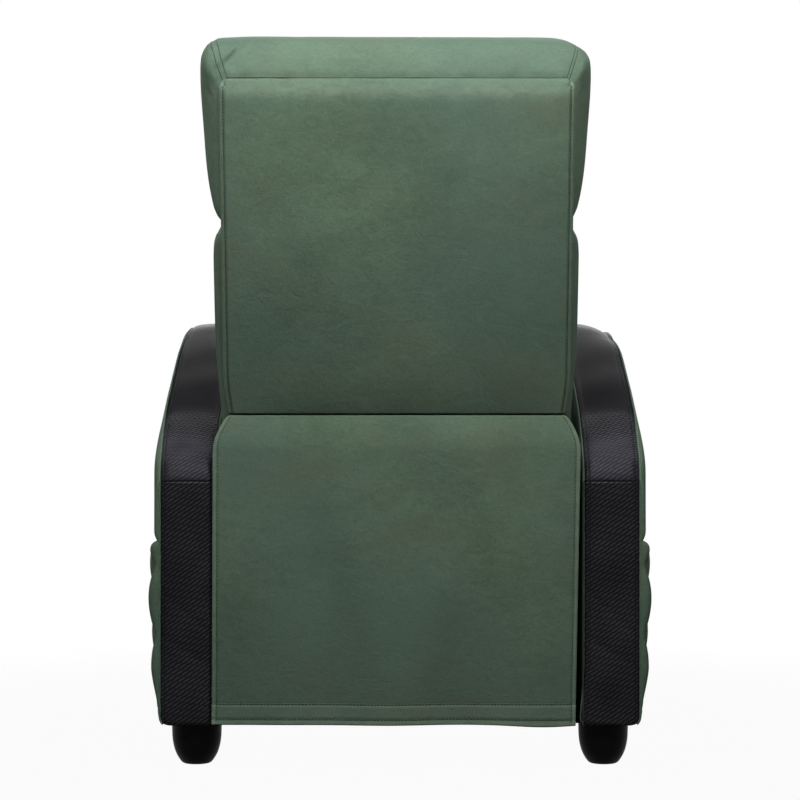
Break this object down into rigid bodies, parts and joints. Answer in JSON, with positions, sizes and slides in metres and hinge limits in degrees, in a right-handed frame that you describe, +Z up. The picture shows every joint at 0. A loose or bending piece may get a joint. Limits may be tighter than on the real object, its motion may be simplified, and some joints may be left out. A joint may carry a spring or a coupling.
{
  "type": "gaming recliner",
  "caption": "Push-back gaming armchair with padded sloping arms, a wide headrest, a tilting back and a footrest that folds out on links.",
  "frame": {"origin": "on the floor under the middle of the chair's bounding box", "axes": "+Z up, +Y to the rear of the chair, +X to the sitter's left"},
  "size_m": [0.7308, 0.8025, 1.0358],
  "materials": {
    "green_cover": "brushed green nubuck-look cover with darker mottling",
    "black_weave": "black cover with a fine slanted woven relief",
    "foot_plastic": "black moulded plastic, satin",
    "plywood": "raw plywood",
    "coated_steel": "black powder coat",
    "spring_wire": "drawn spring wire"
  },
  "bodies": {
    "base": {"arm_band_rear_left": "black_weave", "arm_band_rear_right": "black_weave", "arm_band_top_left": "black_weave", "arm_band_top_right": "black_weave", "arm_band_front_left": "black_weave", "arm_band_front_right": "black_weave", "arm_inner_board_left": "plywood", "arm_inner_board_right": "plywood", "arm_outer_board_left": "plywood", "arm_outer_board_right": "plywood", "arm_bottom_rail_left": "plywood", "arm_bottom_rail_right": "plywood", "arm_inner_cover_left": "green_cover", "arm_inner_cover_right": "green_cover", "arm_outer_cover_left": "green_cover", "arm_outer_cover_right": "green_cover", "arm_quilt_left": "green_cover", "arm_quilt_right": "green_cover", "foot_rear_left": "foot_plastic", "foot_rear_right": "foot_plastic", "foot_front_left": "foot_plastic", "foot_front_right": "foot_plastic", "front_cross_rail": "plywood", "rear_cross_rail": "plywood", "seat_side_rail_left": "plywood", "seat_side_rail_right": "plywood", "seat_front_rail": "plywood", "seat_rear_rail": "plywood", "seat_spring_1": "spring_wire", "seat_spring_2": "spring_wire", "seat_spring_3": "spring_wire", "seat_spring_4": "spring_wire", "seat_cushion": "green_cover", "rear_curtain": "green_cover", "side_plate_left": "coated_steel", "side_plate_right": "coated_steel"},
    "back": {"back_side_rail_left": "plywood", "back_side_rail_right": "plywood", "back_bottom_rail": "plywood", "back_top_rail": "plywood", "back_bracket_left": "coated_steel", "back_bracket_right": "coated_steel", "back_cushion": "green_cover", "headrest": "green_cover", "back_rear_panel": "green_cover"},
    "lower_links": {"lower_link_left": "coated_steel", "lower_link_right": "coated_steel", "torque_tube": "coated_steel"},
    "upper_links": {"upper_link_left": "coated_steel", "upper_link_right": "coated_steel"},
    "drive_links": {"drive_link_left": "coated_steel", "drive_link_right": "coated_steel"},
    "control_links": {"control_link_left": "coated_steel", "control_link_right": "coated_steel"},
    "footrest": {"footrest_board": "plywood", "footrest_cushion": "green_cover", "footrest_bracket_left": "coated_steel", "footrest_bracket_right": "coated_steel"}
  },
  "joints": [
    {"name": "back_recline", "type": "hinge", "parent": "base", "child": "back", "pos_m": [0, 0.187, 0.4], "axis": [-1, 0, 0], "range_deg": [0, 45], "deforming": ["rear_curtain"]},
    {"name": "footrest_open", "type": "hinge", "parent": "base", "child": "lower_links", "pos_m": [0, -0.245, 0.295], "axis": [-1, 0, 0], "range_deg": [0, 86.55]},
    {"name": "drive_link_turn", "type": "hinge", "parent": "base", "child": "drive_links", "pos_m": [0, -0.215, 0.255], "axis": [-1, 0, 0], "range_deg": [0, 87.29]},
    {"name": "upper_link_turn", "type": "hinge", "parent": "lower_links", "child": "upper_links", "pos_m": [0, -0.17349, 0.12438], "axis": [-1, 0, 0], "range_deg": [-89.53, 0]},
    {"name": "control_link_turn", "type": "hinge", "parent": "lower_links", "child": "control_links", "pos_m": [0, -0.18883, 0.16099], "axis": [-1, 0, 0], "range_deg": [-89.97, 0]},
    {"name": "footrest_tilt", "type": "hinge", "parent": "upper_links", "child": "footrest", "pos_m": [0, -0.28498, 0.27201], "axis": [-1, 0, 0], "range_deg": [0, 92.98]}
  ],
  "couplings": [
    {"joint": "drive_link_turn", "follows": "footrest_open", "ratio": 1.0085},
    {"joint": "upper_link_turn", "follows": "footrest_open", "ratio": -1.0343},
    {"joint": "control_link_turn", "follows": "footrest_open", "ratio": -1.0394},
    {"joint": "footrest_tilt", "follows": "footrest_open", "ratio": 1.0742}
  ]
}
